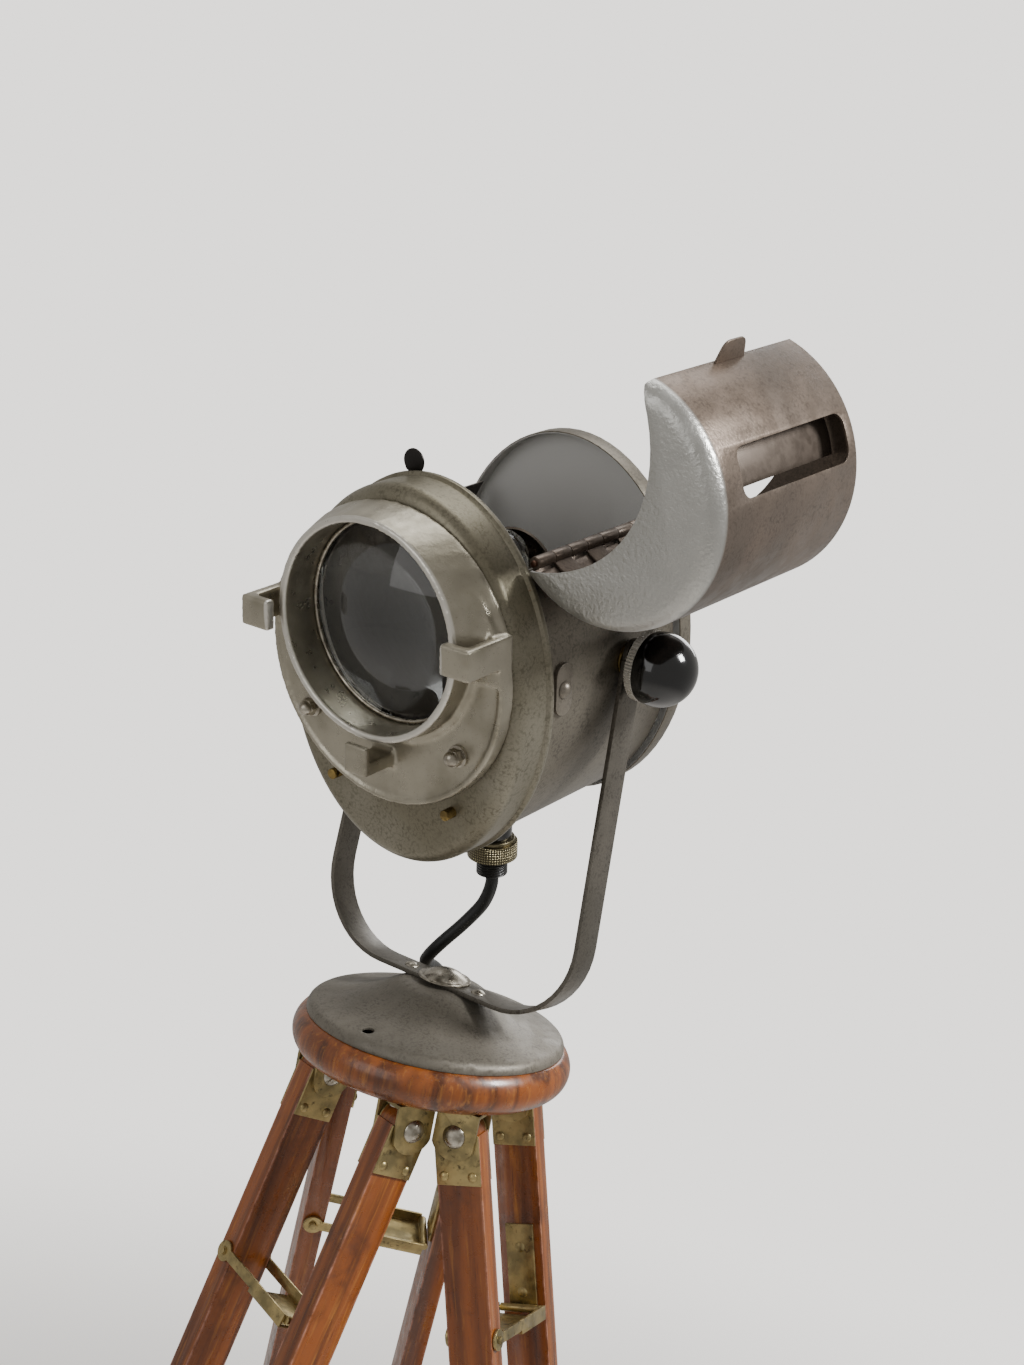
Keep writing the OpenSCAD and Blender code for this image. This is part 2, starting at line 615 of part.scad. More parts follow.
// points from the pan axis, in the stand's frame, from there down to the coil
route_long = [[18.3, 119.8, -2.4], [19.6, 123, -4.4], [20.6, 127.5, -8.5], [20.8, 132.5, -15], [20.6, 137.5, -24],
  [20, 142, -36], [18.5, 146, -52], [16.5, 149, -72], [14, 151, -99], [7, 151, -150], [-4, 151, -200],
  [-13, 151, -240], [-24, 152, -290], [-36, 157, -340], [-46, 172, -400], [-50, 187, -450], [-50, 206, -520],
  [-50, 229, -600], [-50, 243, -645], [-49, 250, -700], [-46, 250, -780], [-43, 246, -860], [-42, 238, -920],
  [-41.5, 229, -965], [-41.5, 224, -995], [-41.5, 225, -1022], [-41.5, 233, -1042], [-41.5, 246, -1052.5],
  [-41.5, 262, -1055.5]];
function unit(v) = v / norm(v);
function line_at(p, i) = unit(p[min(i + 1, len(p) - 1)] - p[max(i - 1, 0)]);
ring_n = 8;
function ring(p, i) = let (d = line_at(p, i), a = unit(cross(d, [0.31, 0.9, 0.3])), b = cross(d, a))
  [for (k = [0:ring_n - 1]) p[i] + lead_r * (cos(360 * k / ring_n) * a + sin(360 * k / ring_n) * b)];
module tube(p) {
  last = len(p) - 1;
  polyhedron(
    [for (i = [0:last]) for (q = ring(p, i)) q],
    concat([[for (k = [0:ring_n - 1]) k]],
      [for (i = [0:last - 1]) for (k = [0:ring_n - 1])
        let (up = (k + 1) % ring_n) [i * ring_n + k, (i + 1) * ring_n + k, (i + 1) * ring_n + up, i * ring_n + up]],
      [[for (k = [ring_n - 1:-1:0]) last * ring_n + k]]));
}
coil_r = 54;            // middle of its turns
coil_at = [-100, 262, -platform_top];
plug_r = 18;
module lead_top() color(black) yoke_at() tube(route_top);
module lead_middle() color(black) yoke_at() tube(route_middle);
module lead_long() color(black) pan_at() tube(route_long);
module lead_coil() color(black) pan_at() translate(coil_at) rotate_extrude($fn = 96)
  translate([coil_r - lead_d, 0]) square([2 * lead_d, coil_layers * lead_d]);
module plug() color(black) pan_at() translate(coil_at) mirror([1, 0, 0]) translate([24, coil_r + lead_r, plug_r]) {
  sideways(0) cylinder(r1 = 6, r2 = 8, h = 28);
  sideways(28) cylinder(r1 = 8, r2 = plug_r, h = 12);
  sideways(40) cylinder(r = plug_r, h = 24);
  for (side = [-1, 1]) translate([0, 9.5 * side, 0]) sideways(64) cylinder(r = 2.4, h = 18);
}

platform();
head_brackets();
hinge_pins();
bracket_screws();
wing_nut();
wing_washer();
dome_cover();
yoke_strap();
centre_bolt();
yoke_screws();
housing();
front_cap();
rear_cap();
lens_carrier();
lens();
lens_ring();
dome_nuts();
guide_rods();
side_plates();
trunnion_bolts();
pivot_washers();
hinge_leaf();
hinge_pin();
lid_catch();
carriage();
clamp_block();
clamp_nut();
gland_sleeve();
lamp_socket();
bulb();
reflector();
lid_shell();
lid_baffle();
lid_leaf();
lid_tab();
knob_right();
knob_left();
leg_1_rails();
leg_1_plates();
leg_1_stay();
leg_1_slider();
leg_1_shoe();
leg_1_clamp();
leg_2_rails();
leg_2_plates();
leg_2_stay();
leg_2_slider();
leg_2_shoe();
leg_2_clamp();
leg_3_rails();
leg_3_plates();
leg_3_stay();
leg_3_slider();
leg_3_shoe();
leg_3_clamp();
lead_top();
lead_middle();
lead_long();
lead_coil();
plug();
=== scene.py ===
import json
import math
import bpy
from mathutils import Matrix, Vector
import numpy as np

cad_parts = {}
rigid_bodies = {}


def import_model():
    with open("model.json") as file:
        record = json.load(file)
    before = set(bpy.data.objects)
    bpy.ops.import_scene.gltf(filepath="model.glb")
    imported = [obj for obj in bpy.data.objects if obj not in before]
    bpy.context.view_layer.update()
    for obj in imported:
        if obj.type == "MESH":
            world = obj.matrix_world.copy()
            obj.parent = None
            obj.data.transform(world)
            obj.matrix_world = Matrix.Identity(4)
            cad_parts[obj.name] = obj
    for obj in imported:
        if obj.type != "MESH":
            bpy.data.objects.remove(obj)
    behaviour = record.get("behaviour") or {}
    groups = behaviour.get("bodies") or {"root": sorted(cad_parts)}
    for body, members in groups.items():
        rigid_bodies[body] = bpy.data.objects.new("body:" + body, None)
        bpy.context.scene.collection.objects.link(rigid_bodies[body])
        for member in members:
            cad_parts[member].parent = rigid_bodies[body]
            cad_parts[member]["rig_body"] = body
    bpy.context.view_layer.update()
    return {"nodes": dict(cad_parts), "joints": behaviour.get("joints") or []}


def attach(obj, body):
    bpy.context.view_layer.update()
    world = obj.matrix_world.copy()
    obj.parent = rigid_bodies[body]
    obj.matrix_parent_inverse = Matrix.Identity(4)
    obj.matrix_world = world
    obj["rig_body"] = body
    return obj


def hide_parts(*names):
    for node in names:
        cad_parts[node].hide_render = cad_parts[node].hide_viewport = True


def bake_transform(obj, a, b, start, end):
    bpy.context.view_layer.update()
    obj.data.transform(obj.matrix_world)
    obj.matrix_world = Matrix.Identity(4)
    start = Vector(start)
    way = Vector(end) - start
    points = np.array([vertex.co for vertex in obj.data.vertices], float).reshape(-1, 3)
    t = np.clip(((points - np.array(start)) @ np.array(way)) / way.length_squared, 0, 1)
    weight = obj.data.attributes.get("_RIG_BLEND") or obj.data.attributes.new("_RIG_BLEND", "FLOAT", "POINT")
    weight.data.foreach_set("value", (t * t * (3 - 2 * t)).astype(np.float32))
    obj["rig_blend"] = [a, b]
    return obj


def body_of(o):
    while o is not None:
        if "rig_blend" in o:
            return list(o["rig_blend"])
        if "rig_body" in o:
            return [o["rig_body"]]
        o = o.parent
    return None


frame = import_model()
scene = bpy.context.scene
joints = {joint["name"]: joint for joint in frame["joints"]}
nodes = frame["nodes"]
mm = 0.001
pole = 0.2              # smallest radius of a turned piece, closed with a flat face


# places: the yoke, the lamp, the lid and each leg have a frame of their own
def frameFrom(origin, x, y):
    x, y = Vector(x).normalized(), Vector(y).normalized()
    place = Matrix((x, y, x.cross(y))).transposed().to_4x4()
    place.translation = Vector(origin)
    return place


panAt = Vector(joints["pan"]["pos_m"])
tiltAxis = Vector(joints["tilt"]["axis"])
standFrame = Matrix.Translation(panAt)
yokeFrame = frameFrom(panAt, tiltAxis, Vector((0, 0, 1)).cross(tiltAxis))
lampFrame = frameFrom(joints["tilt"]["pos_m"], tiltAxis, -Vector(joints["focus"]["axis"]))
lidHinge = lampFrame.inverted() @ Vector(joints["lid_hinge"]["pos_m"])
lidOpen = math.radians(joints["lid_hinge"]["range_deg"][1])
lidFrame = (lampFrame @ Matrix.Translation(lidHinge) @ Matrix.Rotation(lidOpen, 4, "Y")
            @ Matrix.Translation(-lidHinge))
# a piece built upwards is turned to point out of the lamp's front, or along the tilt axis
forward = Matrix.Rotation(math.pi / 2, 4, "X")
sideways = Matrix.Rotation(math.pi / 2, 4, "Y")
legFrames = []
for number in (1, 2, 3):
    hinge = joints[f"leg_{number}_hinge"]
    across = Vector(hinge["axis"])
    upLeg = -Vector(joints[f"leg_{number}_slide"]["axis"])
    legFrames.append(frameFrom(hinge["pos_m"], across.cross(upLeg), across))


# camera: at the height of a standing person's eyes, a little rolled
cameraSet = {"spot": (-6.5, -1446.3, 480), "turn": -9, "yaw": 0.5, "pitch": 9.4, "roll": 11.1, "lens": 58.9}


def makeCamera(s):
    bpy.ops.object.camera_add()
    camera = bpy.context.object
    camera.name = "camera"
    around = Matrix.Rotation(math.radians(s["turn"]), 4, "Z")
    spot = Matrix.Translation(Vector(s["spot"]) * mm)
    look = (Matrix.Rotation(math.radians(-s["yaw"]), 4, "Z")
            @ Matrix.Rotation(math.radians(90 - s["pitch"]), 4, "X")
            @ Matrix.Rotation(math.radians(s["roll"]), 4, "Z"))
    camera.matrix_world = Matrix.Translation(panAt) @ around @ spot @ look
    camera.data.lens = s["lens"]
    camera.data.sensor_width = 36
    camera.data.clip_end = 100
    scene.camera = camera


makeCamera(cameraSet)
print("camera made")


# modelling helpers
def deselect():
    if bpy.context.object and bpy.context.object.mode != "OBJECT":
        bpy.ops.object.mode_set(mode="OBJECT")
    bpy.ops.object.select_all(action="DESELECT")


def choose(piece):
    deselect()
    piece.select_set(True)
    bpy.context.view_layer.objects.active = piece


def editAll(piece):
    choose(piece)
    bpy.ops.object.mode_set(mode="EDIT")
    bpy.ops.mesh.select_all(action="SELECT")


def modify(piece, kind, **settings):
    choose(piece)
    modifier = piece.modifiers.new(kind.lower(), kind)
    for key, value in settings.items():
        setattr(modifier, key, value)
    bpy.ops.object.modifier_apply(modifier=modifier.name)


def smooth(piece, angle=35):
    choose(piece)
    bpy.ops.object.shade_smooth_by_angle(angle=math.radians(angle))


def weld(piece, distance=1e-6):
    editAll(piece)
    bpy.ops.mesh.remove_doubles(threshold=distance)
    bpy.ops.mesh.normals_make_consistent(inside=False)
    bpy.ops.object.mode_set(mode="OBJECT")


def finishPiece(piece, name, place, body, material, standsFor=()):
    piece.data.transform(place)
    piece.data.name = name
    piece.name = name
    piece.data.materials.clear()
    piece.data.materials.append(material)
    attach(piece, body)
    for node in standsFor:
        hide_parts(node)
    return piece


# rings of a round or oval piece, one after the other, in mm: half width, half height, height along the axis,
# and how far its middle is raised, if not by rise
def lofted(rings, sides=96, rise=0.0, sharp=35):
    deselect()
    bpy.ops.mesh.primitive_circle_add(vertices=sides, radius=1, fill_type="NOTHING")
    piece = bpy.context.object
    bpy.ops.object.mode_set(mode="EDIT")
    bpy.ops.mesh.select_all(action="SELECT")
    first = [max(v, pole) * mm for v in rings[0][:2]]
    bpy.ops.transform.resize(value=(first[0], first[1], 1))
    bpy.ops.transform.translate(value=(0, rise * mm, rings[0][2] * mm))
    for low, high in zip(rings, rings[1:]):
        raised = [ring[3] if len(ring) > 3 else rise for ring in (low, high)]
        step = (0, (raised[1] - raised[0]) * mm, (high[2] - low[2]) * mm)
        bpy.ops.mesh.extrude_region_move(TRANSFORM_OT_translate={"value": step})
        grow = [max(b, pole) / max(a, pole) for a, b in zip(low[:2], high[:2])]
        middle = (0, raised[1] * mm, high[2] * mm)
        bpy.ops.transform.resize(value=(grow[0], grow[1], 1), center_override=middle)
    if rings[0][0] == 0:
        bpy.ops.mesh.select_all(action="SELECT")
        bpy.ops.mesh.fill_holes(sides=0)
    bpy.ops.object.mode_set(mode="OBJECT")
    weld(piece, 4e-6)
    smooth(piece, sharp)
    return piece


def turned(profile, **more):
    return lofted([(r, r, h) for r, h in profile], **more)


# a CAD part's shape with its edges eased
def softened(node, edge=0.4, segments=2, material=None, flat=0.6, sharp=35):
    source = nodes[node]
    piece = bpy.data.objects.new(node, source.data.copy())
    scene.collection.objects.link(piece)
    editAll(piece)
    bpy.ops.mesh.remove_doubles(threshold=2e-6)
    bpy.ops.mesh.dissolve_limited(angle_limit=math.radians(flat))
    bpy.ops.object.mode_set(mode="OBJECT")
    if edge:
        modify(piece, "BEVEL", width=edge * mm, segments=segments, limit_method="ANGLE",
               angle_limit=math.radians(32), use_clamp_overlap=True, miter_outer="MITER_ARC")
    smooth(piece, sharp)
    words = node.split("_")
    name = words[0] + "".join(word.capitalize() for word in words[1:])
    return finishPiece(piece, name, Matrix.Identity(4), body_of(source)[0], material, [node])


# a tube of twenty sides swept along points, closed at both ends
def swept(points, radius):
    deselect()
    curve = bpy.data.curves.new("route", "CURVE")
    curve.dimensions = "3D"
    curve.bevel_depth = radius
    curve.bevel_resolution = 4
    curve.use_fill_caps = True
    spline = curve.splines.new("POLY")
    spline.points.add(len(points) - 1)
    for point, place in zip(spline.points, points):
        point.co = (*place, 1)
    piece = bpy.data.objects.new("route", curve)
    scene.collection.objects.link(piece)
    choose(piece)
    bpy.ops.object.convert(target="MESH")
    piece = bpy.context.object
    weld(piece)
    smooth(piece, 60)
    return piece


def smoothRoute(points, steps):
    points = [Vector(p) for p in points]
    line = []
    for i in range(len(points) - 1):
        a, b = points[max(i - 1, 0)], points[i]
        c, d = points[i + 1], points[min(i + 2, len(points) - 1)]
        for k in range(steps):
            t = k / steps
            line.append(0.5 * (2 * b + (c - a) * t + (2 * a - 5 * b + 4 * c - d) * t ** 2
                               + (3 * b - a - 3 * c + d) * t ** 3))
    return line + [points[-1]]


def lengthOf(line):
    return sum((b - a).length for a, b in zip(line, line[1:]))


# materials
def srgb(text):
    parts = [int(text[i:i + 2], 16) / 255 for i in (1, 3, 5)]
    return [c / 12.92 if c <= 0.04045 else ((c + 0.055) / 1.055) ** 2.4 for c in parts] + [1]


class Finish:
    def __init__(self, name, place=None):
        self.material = bpy.data.materials.new(name)
        self.material.use_nodes = True
        self.tree = self.material.node_tree
        self.shader = self.tree.nodes["Principled BSDF"]
        self.coords = self.add("TexCoord").outputs["Object"]
        if place is not None:
            self.coords = self.within(place)

    # the coordinates in the frame of a piece
    def within(self, place):
        back = place.inverted()
        mapping = self.add("Mapping", Vector=self.coords)
        mapping.inputs["Location"].default_value = back.translation
        mapping.inputs["Rotation"].default_value = back.to_euler("XYZ")
        return mapping.outputs["Vector"]

    # how far out a point is from an oval round the frame's z: 1 on the oval
    def oval(self, coords, a, b, up):
        x = self.math("DIVIDE", self.axis(0, coords), a * mm)
        y = self.math("DIVIDE", self.math("SUBTRACT", self.axis(1, coords), up * mm), b * mm)
        return self.math("SQRT", self.math("ADD", self.math("MULTIPLY", x, x), self.math("MULTIPLY", y, y)))

    # adds a node; keyword values are set on its sockets, or linked when they are sockets
    def add(self, kind, settings=None, **inputs):
        node = self.tree.nodes.new("ShaderNode" + kind)
        for key, value in (settings or {}).items():
            setattr(node, key, value)
        for key, value in inputs.items():
            socket = node.inputs[int(key[1:])] if key[0] == "i" and key[1:].isdigit() else node.inputs[key]
            self.put(socket, value)
        return node

    def put(self, socket, value):
        if isinstance(value, bpy.types.NodeSocket):
            self.tree.links.new(value, socket)
        else:
            socket.default_value = value

    def set(self, **inputs):
        for key, value in inputs.items():
            self.put(self.shader.inputs[key.replace("_", " ")], value)
        return self

    def math(self, operation, a, b=0.0):
        return self.add("Math", {"operation": operation}, i0=a, i1=b).outputs[0]

    def noise(self, size, detail=4, roughness=0.55, coords=None, distortion=0.0):
        node = self.add("TexNoise", Vector=coords or self.coords, Scale=1 / (size * mm), Detail=detail,
                        Roughness=roughness, Distortion=distortion)
        return node.outputs["Fac"]

    def step(self, value, low, high, out0=0.0, out1=1.0):
        node = self.add("MapRange", {"interpolation_type": "SMOOTHSTEP"}, Value=value)
        for key, number in (("From Min", low), ("From Max", high), ("To Min", out0), ("To Max", out1)):
            node.inputs[key].default_value = number
        return node.outputs[0]

    def mix(self, amount, a, b):
        node = self.add("Mix", {"data_type": "RGBA"})
        self.put(node.inputs[0], amount)
        self.put(node.inputs[6], a)
        self.put(node.inputs[7], b)
        return node.outputs[2]

    def bump(self, height, depth, under=None):
        node = self.add("Bump", Height=height)
        node.inputs["Distance"].default_value = depth * mm
        if under is not None:
            self.put(node.inputs["Normal"], under)
        return node.outputs["Normal"]

    def axis(self, which, coords=None):
        return self.add("SeparateXYZ", Vector=coords or self.coords).outputs[which]


# hammer enamel, sprayed on steel: round dimples with painted shade on their rims, and random darker flecks, break
# the shine into flecks; a few spots of rust
# inside gives a colour and the oval bars within which it covers: (half width, half height, up, low, high)
def hammerEnamel(name, ground, shadow, metallic=0.6, rough=(0.3, 0.44), rust=0.02, cell=1.7, dent=0.05,
                 inside=None, bright=None):
    f = Finish(name)
    drift = f.add("TexNoise", Vector=f.coords, Scale=1 / (2.381 * mm)).outputs["Color"]
    wander = f.add("VectorMath", {"operation": "SCALE"}, i0=drift)
    wander.inputs["Scale"].default_value = 1.6 * mm
    moved = f.add("VectorMath", {"operation": "ADD"}, i0=f.coords, i1=wander.outputs[0]).outputs[0]
    dimples = f.add("TexVoronoi", {"feature": "SMOOTH_F1"}, Vector=moved, Scale=1 / (cell * mm))
    pits = dimples.outputs["Distance"]
    fleck = f.step(f.noise(0.8, 3, 0.6), 0.5, 0.68)
    # painted shade: the rims between the dimples, sunk by the bump below, are darkened toward the shadow colour,
    # together with random flecks
    ring = f.step(pits, 0.4, 0.66)
    rimShadeAndFlecks = f.math("MULTIPLY", f.math("MAXIMUM", ring, fleck), f.step(f.noise(11, 3), 0.3, 0.7, 0.25, 0.9))
    tone = f.mix(f.step(f.noise(70, 2), 0.3, 0.7), srgb(ground[0]), srgb(ground[1]))
    tone = f.mix(f.math("MULTIPLY", rimShadeAndFlecks, 0.6), tone, srgb(shadow))
    spot = f.math("MULTIPLY", f.step(f.noise(3.4, 5, 0.6), 0.70, 0.76), f.step(f.noise(24, 2), 0.52, 0.62))
    tone = f.mix(f.math("MULTIPLY", spot, rust * 40), tone, srgb("#6B4A2E"))
    polish = f.step(f.noise(14, 3), 0.3, 0.7, *rough)
    if bright:      # cast silver ahead of a height in the lid's frame
        ahead = f.step(f.axis(2, f.within(bright)), 76 * mm, 80 * mm)
        tone = f.mix(ahead, tone, srgb("#B6B5B0"))
        metallic = f.step(ahead, 0, 1, metallic, 0.85)
    if inside:
        own = f.within(lampFrame @ forward)
        hollow = 0.0
        for wide, high, up, low, top in inside[1]:
            along = f.math("MULTIPLY", f.step(f.axis(2, own), low * mm, (low + 0.3) * mm),
                           f.step(f.axis(2, own), (top - 0.3) * mm, top * mm, 1, 0))
            bar = f.math("MULTIPLY", along, f.step(f.oval(own, wide, high, up), 0.998, 1.001, 1, 0))
            hollow = f.math("MAXIMUM", hollow, bar)
        tone = f.mix(hollow, tone, srgb(inside[0]))
        metallic = f.step(hollow, 0, 1, metallic, 0.1)
        polish = f.step(hollow, 0, 1, 0.38, 0.6)
    normal = f.bump(f.math("SUBTRACT", 1.0, pits), dent)
    if bright:
        normal = f.bump(f.math("MULTIPLY", f.noise(2.6, 3, 0.5), ahead), 0.5, under=normal)
    return f.set(Base_Color=tone, Metallic=metallic, Roughness=polish, Normal=normal).material


# aluminium, sand cast and painted silver: a soft orange peel, and a painted highlight along the lens lip
def castSilver():
    f = Finish("castSilver")
    place = f.within(lampFrame @ forward)
    peel = f.noise(2.6, 3, 0.5)
    tone = f.mix(f.step(f.noise(45, 3), 0.35, 0.7), srgb("#ABA595"), srgb("#8B8575"))
    tone = f.mix(f.step(f.noise(1.6, 4), 0.58, 0.74, 0, 0.4), tone, srgb("#777064"))
    # painted highlight: the lip round the lens, ahead of 143.5 mm and within 72 mm of its axis, is coloured near
    # white
    lipHighlight = f.math("MULTIPLY", f.step(f.axis(2, place), 143.5 * mm, 145 * mm),
                 f.step(f.oval(place, 72, 72, 35), 0.99, 1.0, 1, 0))
    tone = f.mix(lipHighlight, tone, srgb("#D2CEC4"))
    normal = f.bump(peel, 0.14, under=f.bump(f.noise(0.6, 2), 0.02))
    rough = f.step(f.noise(10, 4), 0.3, 0.7, 0.26, 0.42)
    return f.set(Base_Color=tone, Metallic=0.82, Roughness=rough, Normal=normal).material


# brass, rolled and long handled: dull yellow between patches of brown tarnish
def agedBrass(name="agedBrass", clean="#B5A271", dull="#877B58", dark="#4A4331", cover=0.56):
    f = Finish(name)
    tone = f.mix(f.step(f.noise(16, 5, 0.6), 0.35, 0.65), srgb(clean), srgb(dull))
    tone = f.mix(f.step(f.noise(6, 6, 0.65), cover, cover + 0.14, 0, 0.85), tone, srgb(dark))
    return f.set(Base_Color=tone, Metallic=0.92, Roughness=f.step(f.noise(5, 4), 0.3, 0.7, 0.3, 0.5),
                 Normal=f.bump(f.noise(1.5, 4), 0.025)).material


# nickel plate on turned steel, dulled: a soft grey shine, blurred more in some places than in others
def dullNickel(name="dullNickel", clean="#B9B3A6", dull="#7F786B", rough=(0.2, 0.42)):
    f = Finish(name)
    tone = f.mix(f.step(f.noise(5, 3, 0.5), 0.3, 0.75), srgb(clean), srgb(dull))
    return f.set(Base_Color=tone, Metallic=1.0, Roughness=f.step(f.noise(6, 3), 0.2, 0.8, *rough),
                 Normal=f.bump(f.noise(0.9, 3), 0.004)).material


# moulded, painted or glazed pieces of one colour: nearly even, with a faint grain in the shine
def plain(name, colour, rough, metallic=0.0, coat=0.0, grain=0.8, depth=0.01):
    f = Finish(name)
    tone = f.mix(f.step(f.noise(12, 4), 0.3, 0.75, 0, 0.35), srgb(colour[0]), srgb(colour[1]))
    f.set(Base_Color=tone, Metallic=metallic, Coat_Weight=coat, Normal=f.bump(f.noise(grain, 3), depth))
    return f.set(Roughness=f.step(f.noise(7, 3), 0.3, 0.7, rough * 0.85, rough * 1.2)).material


# pressed glass: clear and smooth, so it bends what is behind it and mirrors the room
def clearGlass(name, tint="#F4F7F5"):
    f = Finish(name)
    return f.set(Base_Color=srgb(tint), Roughness=0.0, Transmission_Weight=1.0, IOR=1.5).material


# red-brown hardwood, sawn and varnished: dark bands and pores along the grain under a soft gloss, with rubbed
# corners and small chips; half gives the section whose corners are rubbed, spread how far off its middle is
woodTones = ("#8A4A1A", "#50280E", "#B4742F")


def varnishedWood(name, place, half=None, spread=0.0):
    f = Finish(name, place)
    long = f.add("Mapping", Vector=f.coords, Scale=(1.0, 1.0, 0.06)).outputs["Vector"]
    fine = f.add("Mapping", Vector=f.coords, Scale=(1.0, 1.0, 0.035)).outputs["Vector"]
    rays = f.noise(3.0, 6, 0.62, long, 0.4)
    bands = f.noise(16, 3, 0.5, long, 0.8)
    pores = f.step(f.noise(0.9, 3, 0.6, fine), 0.6, 0.72)
    tone = f.mix(f.step(bands, 0.35, 0.68), srgb(woodTones[0]), srgb(woodTones[1]))
    tone = f.mix(f.step(rays, 0.5, 0.75, 0, 0.6), tone, srgb(woodTones[2]))
    tone = f.mix(f.math("MULTIPLY", pores, 0.55), tone, srgb("#2C120A"))
    tone = f.mix(f.step(f.noise(34, 4, 0.6), 0.52, 0.75, 0, 0.75), tone, srgb("#3C1E10"))
    if half:
        x = f.math("ABSOLUTE", f.axis(0))
        y = f.math("ABSOLUTE", f.math("SUBTRACT", f.math("ABSOLUTE", f.axis(1)), spread * mm))
        rub = f.math("MULTIPLY", f.step(x, (half[0] - 1.8) * mm, half[0] * mm),
                     f.step(y, (half[1] - 1.8) * mm, half[1] * mm))
        worn = f.math("MULTIPLY", rub, f.step(f.noise(14, 5, 0.65), 0.38, 0.62))
        tone = f.mix(f.math("MULTIPLY", worn, 0.85), tone, srgb("#B07A66"))
    chips = f.math("MULTIPLY", f.step(f.noise(4.5, 5, 0.6), 0.71, 0.75), f.step(f.noise(40, 2), 0.5, 0.62))
    tone = f.mix(chips, tone, srgb("#CDB7A4"))
    f.set(Base_Color=tone, Roughness=f.step(f.noise(9, 4), 0.3, 0.7, 0.24, 0.44), Coat_Weight=0.25)
    f.shader.inputs["Coat Roughness"].default_value = 0.18
    return f.set(Normal=f.bump(f.math("ADD", rays, pores), 0.05)).material


# brass nut, milled crosswise: painted highlights on the points and painted shade in the grooves, which are
# coarser than real ones so that they show
def milledNut():
    f = Finish("milledNut")
    place = f.within(lampFrame @ Matrix.Translation((0, -15.6 * mm, 0)))
    turn = f.math("MULTIPLY", f.math("ARCTAN2", f.axis(1, place), f.axis(0, place)), 30.0)
    rise = f.math("MULTIPLY", f.axis(2, place), 2 * math.pi / (3.59 * mm))
    cross = f.math("MULTIPLY", f.math("SINE", f.math("ADD", turn, rise)),
                   f.math("SINE", f.math("SUBTRACT", turn, rise)))
    out = f.oval(place, 16.3, 16.3, 0)
    milled = f.math("MULTIPLY", cross, f.step(out, 0.99, 1.02))
    # painted light: the milled pattern colours the grooves dark (painted shade) and the points bright (painted
    # highlight)
    tone = f.mix(f.step(milled, -0.3, 0.6), srgb("#5A5340"), srgb("#A39A7C"))
    return f.set(Base_Color=tone, Metallic=0.95, Roughness=0.36, Normal=f.bump(milled, 0.5)).material


# black moulded sleeve with a thread of 1.9 mm: a highlight on each turn
def threaded():
    f = Finish("threadedBlack")
    along = f.axis(2, f.within(lampFrame))
    rise = f.math("SINE", f.math("MULTIPLY", along, 2 * math.pi / (1.904 * mm)))
    return f.set(Base_Color=srgb("#0B0B0B"), Roughness=0.3, Normal=f.bump(rise, 0.5)).material


enamel = hammerEnamel("hammerEnamel", ("#857E72", "#736C62"), "#423D36")
# painted shade: the dark inside colour of the front cap and the barrel stands for the shade within the lamp
# house; the rear cap's light grey inside is its paint
capEnamel = hammerEnamel("hammerEnamelCap", ("#8A8576", "#77715F"), "#45412F", metallic=0.68,
                         inside=("#3D3732", [(94.6, 122.6, -5, -60, 105), (85, 113, -5, -60, 114.6)]))
barrelEnamel = hammerEnamel("hammerEnamelBarrel", ("#7D776B", "#6A645A"), "#3C3831",
                            inside=("#3D3732", [(91.2, 120.2, -5, -80, 120)]))
rearEnamel = hammerEnamel("hammerEnamelRear", ("#7D776B", "#6A645A"), "#3C3831",
                          inside=("#C6C5C2", [(95.6, 123.6, -5, -63.2, 0)]))
lidEnamel = hammerEnamel("hammerEnamelLid", ("#75675B", "#62584F"), "#40372F", bright=lidFrame @ forward,
                         dent=0.07)
tabEnamel = hammerEnamel("hammerEnamelTab", ("#75675B", "#62584F"), "#40372F")
domeEnamel = hammerEnamel("hammerEnamelDome", ("#7D776C", "#6A655B"), "#423E35", metallic=0.45,
                          rough=(0.42, 0.56), rust=0.0, cell=1.5)
strapEnamel = hammerEnamel("hammerEnamelStrap", ("#706B62", "#5E5A52"), "#37332E", metallic=0.7, rust=0.0,
                           cell=1.5)
silver = castSilver()
brass = agedBrass()
brassDark = agedBrass("agedBrassDark", "#A08850", "#6B5A36", "#33291A", 0.5)
nickel = dullNickel()
brightSteel = plain("brightSteel", ("#CFCBC2", "#B7B2A8"), 0.28, 0.7)
darkSteel = plain("darkSteel", ("#2A2826", "#3A3633"), 0.4, 0.8)
baffleBrown = plain("baffleBrown", ("#5C5249", "#4B423A"), 0.42, 0.6)     # steel in a dark brown-grey
rustySteel = dullNickel("rustySteel", "#7C7063", "#66483A", (0.38, 0.55))
# bakelite is moulded and has a sharp gloss, the cable's rubber is extruded and has a broad dull shine
bakelite = plain("blackBakelite", ("#050505", "#0A0A0A"), 0.12, coat=0.4, depth=0.0)
rubber = plain("blackRubber", ("#0E1010", "#181A1A"), 0.42, grain=0.5, depth=0.02)
ceramic = plain("glazedCeramic", ("#E6E1D6", "#D8D2C4"), 0.25)
mirrorMetal = plain("polishedReflector", ("#6E655B", "#5C544C"), 0.3, 0.9, depth=0.0)
glass = clearGlass("lensGlass")
bulbGlass = clearGlass("bulbGlass", "#FBFBF7")
print("finishes made")


